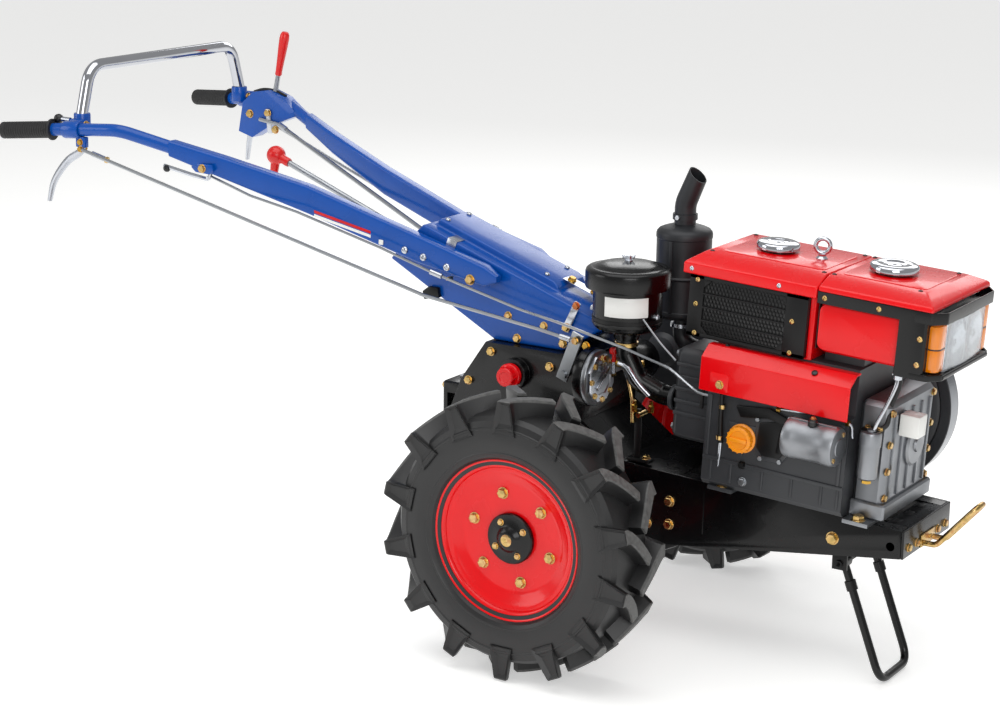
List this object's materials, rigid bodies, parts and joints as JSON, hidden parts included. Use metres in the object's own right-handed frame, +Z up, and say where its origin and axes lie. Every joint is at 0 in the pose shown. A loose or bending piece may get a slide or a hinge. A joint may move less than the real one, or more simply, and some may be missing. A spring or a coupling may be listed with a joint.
{
  "type": "walking tractor",
  "caption": "Two-wheel walking tractor: horizontal diesel engine on a frame ahead of a gearbox, farm tyres, long handlebars with grips and levers, belt drive and a front stand.",
  "frame": {"origin": "on the ground, at the middle of the overall length and on the centre plane", "axes": "+X forward to the engine and lamp, +Y to the operator's left, +Z up"},
  "size_m": [2.2704, 0.972, 1.163],
  "materials": {
    "blue_paint": "gloss",
    "red_paint": "gloss",
    "black_paint": "semi-gloss",
    "chrome": "polished",
    "bare_steel": "satin",
    "zinc_yellow": "yellow zinc plate",
    "cast_grey": "painted casting",
    "cast_aluminium": "as cast",
    "muffler_grey": "satin, heat resistant",
    "amber": "gloss, translucent",
    "lamp_glass": "clear",
    "tyre_rubber": "matt",
    "grip_rubber": "satin"
  },
  "bodies": {
    "chassis": {"air_filter": "black_paint", "axle_housing_left": "black_paint", "axle_housing_right": "black_paint", "belt_guard": "black_paint", "clutch_lever": "red_paint", "clutch_quadrant": "blue_paint", "clutch_rod": "bare_steel", "control_console": "blue_paint", "crankcase": "cast_grey", "cylinder_head": "cast_grey", "drive_belts": "grip_rubber", "frame_nose": "black_paint", "frame_rail_left": "black_paint", "frame_rail_right": "black_paint", "front_casing": "cast_aluminium", "front_guard": "black_paint", "front_hook": "zinc_yellow", "fuel_cap": "chrome", "fuel_filter": "cast_aluminium", "fuel_tank": "red_paint", "gear_lever": "red_paint", "gearbox_case": "black_paint", "grip_left": "grip_rubber", "grip_right": "grip_rubber", "handlebar_left": "blue_paint", "handlebar_right": "blue_paint", "handrail": "chrome", "headlight": "lamp_glass", "hitch_bracket": "black_paint", "indicator_left": "amber", "indicator_right": "amber", "intake_pipe": "black_paint", "lifting_eye": "bare_steel", "muffler": "muffler_grey", "oil_filler_cap": "amber", "pto_cap": "red_paint", "radiator_cap": "chrome", "radiator_core": "black_paint", "radiator_hood": "red_paint", "radiator_housing": "red_paint", "side_guard": "red_paint", "stand_bracket": "black_paint", "starter_motor": "cast_aluminium", "steering_lever_left": "cast_aluminium", "steering_lever_right": "cast_aluminium", "steering_rod_left": "bare_steel", "steering_rod_right": "bare_steel", "throttle_cable": "grip_rubber", "throttle_lever": "bare_steel", "transfer_cover": "cast_aluminium"},
    "wheel_right": {"tyre_right": "tyre_rubber", "rim_right": "red_paint", "hub_right": "black_paint"},
    "wheel_left": {"tyre_left": "tyre_rubber", "rim_left": "red_paint", "hub_left": "black_paint"},
    "flywheel": {"flywheel": "black_paint"},
    "clutch_pulley": {"clutch_pulley": "cast_grey"},
    "stand": {"stand": "black_paint"}
  },
  "joints": [
    {"name": "wheel_right_spin", "type": "hinge", "parent": "chassis", "child": "wheel_right", "pos_m": [0.32119, -0.4135, 0.295], "axis": [0, 1, 0], "continuous": true},
    {"name": "wheel_left_spin", "type": "hinge", "parent": "chassis", "child": "wheel_left", "pos_m": [0.32119, 0.4135, 0.295], "axis": [0, 1, 0], "continuous": true},
    {"name": "flywheel_spin", "type": "hinge", "parent": "chassis", "child": "flywheel", "pos_m": [0.79719, 0.22, 0.511], "axis": [0, 1, 0], "continuous": true},
    {"name": "clutch_pulley_spin", "type": "hinge", "parent": "chassis", "child": "clutch_pulley", "pos_m": [0.27119, 0.29, 0.53], "axis": [0, 1, 0], "continuous": true},
    {"name": "stand_fold", "type": "hinge", "parent": "chassis", "child": "stand", "pos_m": [0.87619, 0, 0.2485], "axis": [0, 1, 0], "range_deg": [0, 100]}
  ],
  "couplings": [
    {"joint": "clutch_pulley_spin", "follows": "flywheel_spin", "ratio": 0.6}
  ]
}
